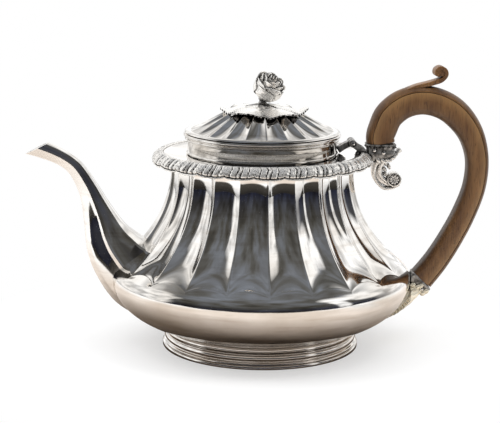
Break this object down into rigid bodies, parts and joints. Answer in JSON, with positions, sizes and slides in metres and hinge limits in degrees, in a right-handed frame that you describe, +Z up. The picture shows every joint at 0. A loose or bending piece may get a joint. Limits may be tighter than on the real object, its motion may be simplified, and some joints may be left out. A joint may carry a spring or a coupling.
{
  "type": "silver teapot",
  "caption": "Squat fluted silver teapot on a round foot, with a hinged domed lid, rose finial, faceted spout and scrolled wooden handle.",
  "frame": {"origin": "centre of the foot's resting face, on the surface that the teapot stands on", "axes": "+Z up; the spout points along -X and the handle stands at +X; +Y is the far side"},
  "size_m": [0.2842, 0.185, 0.1737],
  "materials": {
    "polished_silver": "polished with fine wear scratches",
    "oxidised_silver": "cast and chased, polished on the high parts and dark in the hollows",
    "fruitwood": "waxed, with visible grain"
  },
  "bodies": {
    "teapot": {"bowl_shell": "polished_silver", "waist_shell": "polished_silver", "foot_ring": "polished_silver", "base_disc": "polished_silver", "mouth_plate": "polished_silver", "cast_border": "polished_silver", "spout": "polished_silver", "hinge_body_strap": "oxidised_silver", "hinge_pin": "polished_silver", "handle_wood": "fruitwood", "upper_socket": "oxidised_silver", "handle_bracket": "oxidised_silver", "socket_scroll": "oxidised_silver", "scroll_rosette": "oxidised_silver", "socket_leaf": "oxidised_silver", "lower_socket": "oxidised_silver", "lower_leaf": "polished_silver", "upper_pin_1": "polished_silver", "upper_pin_2": "polished_silver", "lower_pin": "polished_silver"},
    "lid": {"lid_dome": "polished_silver", "lid_band": "polished_silver", "lid_bezel": "polished_silver", "finial_leaves": "oxidised_silver", "finial_stem": "oxidised_silver", "finial_rose": "oxidised_silver", "finial_stud": "polished_silver", "finial_washer": "polished_silver", "finial_nut": "polished_silver", "hinge_lid_strap": "oxidised_silver"}
  },
  "joints": [
    {"name": "lid_hinge", "type": "hinge", "parent": "teapot", "child": "lid", "pos_m": [0.055, 0, 0.1263], "axis": [0, 1, 0], "range_deg": [0, 80]}
  ]
}
